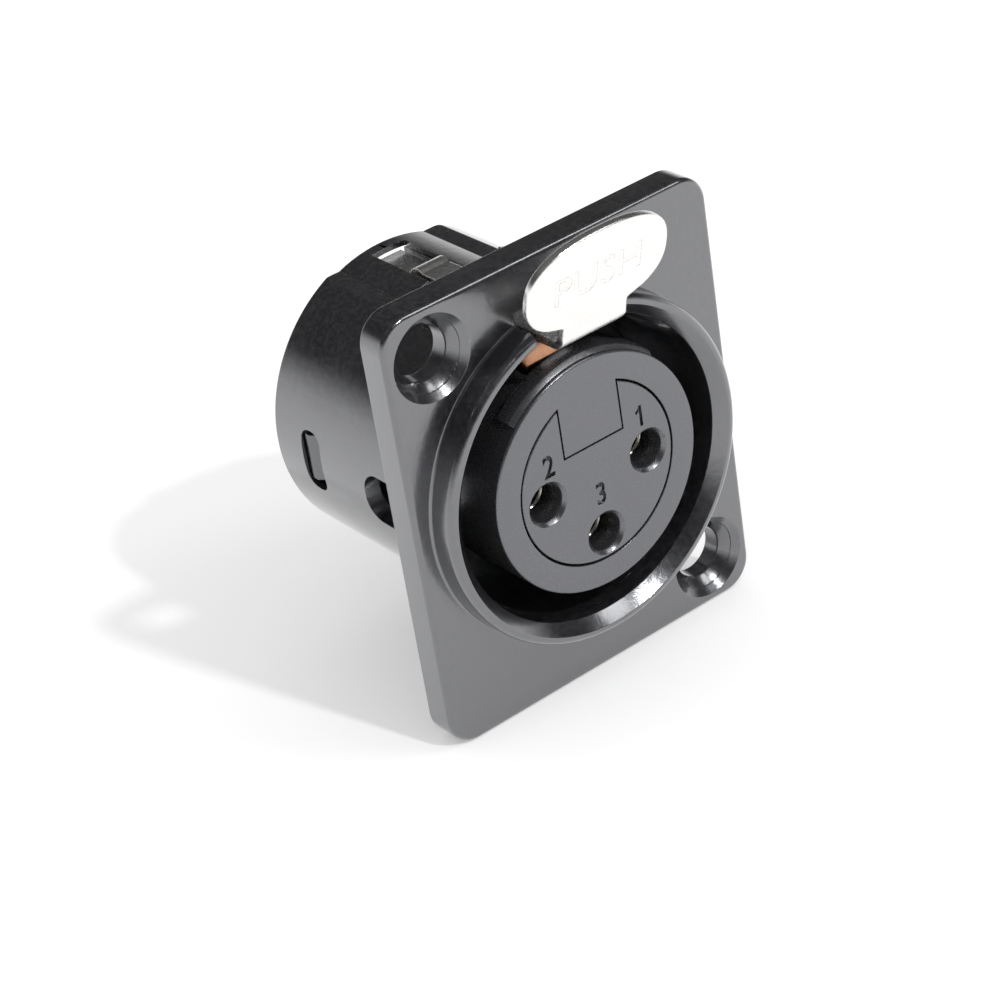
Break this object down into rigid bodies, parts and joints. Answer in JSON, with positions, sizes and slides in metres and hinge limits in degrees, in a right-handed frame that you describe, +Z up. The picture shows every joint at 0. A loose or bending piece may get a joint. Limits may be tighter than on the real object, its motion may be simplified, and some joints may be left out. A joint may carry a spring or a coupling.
{
  "type": "xlr panel socket",
  "caption": "Panel socket for a round audio plug: rectangular flange, raised collar, round barrel, insert with contact holes, push-tab latch lever and solder cups.",
  "frame": {"origin": "on the mating axis, in the plane of the flange's rear face that lies against the panel", "axes": "+Y from the flange towards the rear along the mating axis, +Z up towards the push tab, +X to the right seen from the front"},
  "size_m": [0.026, 0.0281, 0.034],
  "materials": {
    "black_paint": "gloss black paint on die-cast metal, slightly uneven",
    "black_plastic": "fine matte black moulding",
    "contact_plating": "plated turned contact",
    "copper_strip": "copper coloured spring strip",
    "nickel": "bright nickel plate with soft edges",
    "steel": "drawn steel"
  },
  "bodies": {
    "socket": {"shell": "black_paint", "insert_sleeve": "black_plastic", "contact_block": "black_plastic", "contact_1": "contact_plating", "contact_2": "contact_plating", "contact_3": "contact_plating", "ground_contact": "copper_strip", "lever_pin": "steel", "latch_spring": "steel"},
    "latch": {"latch_lever": "nickel"}
  },
  "joints": [
    {"name": "latch_hinge", "type": "hinge", "parent": "socket", "child": "latch", "pos_m": [0, 0.0056, 0.01055], "axis": [1, 0, 0], "range_deg": [-5, 0], "stiffness_Nm_per_rad": 0.03, "springref_deg": 17.19, "deforming": ["latch_spring"]}
  ]
}
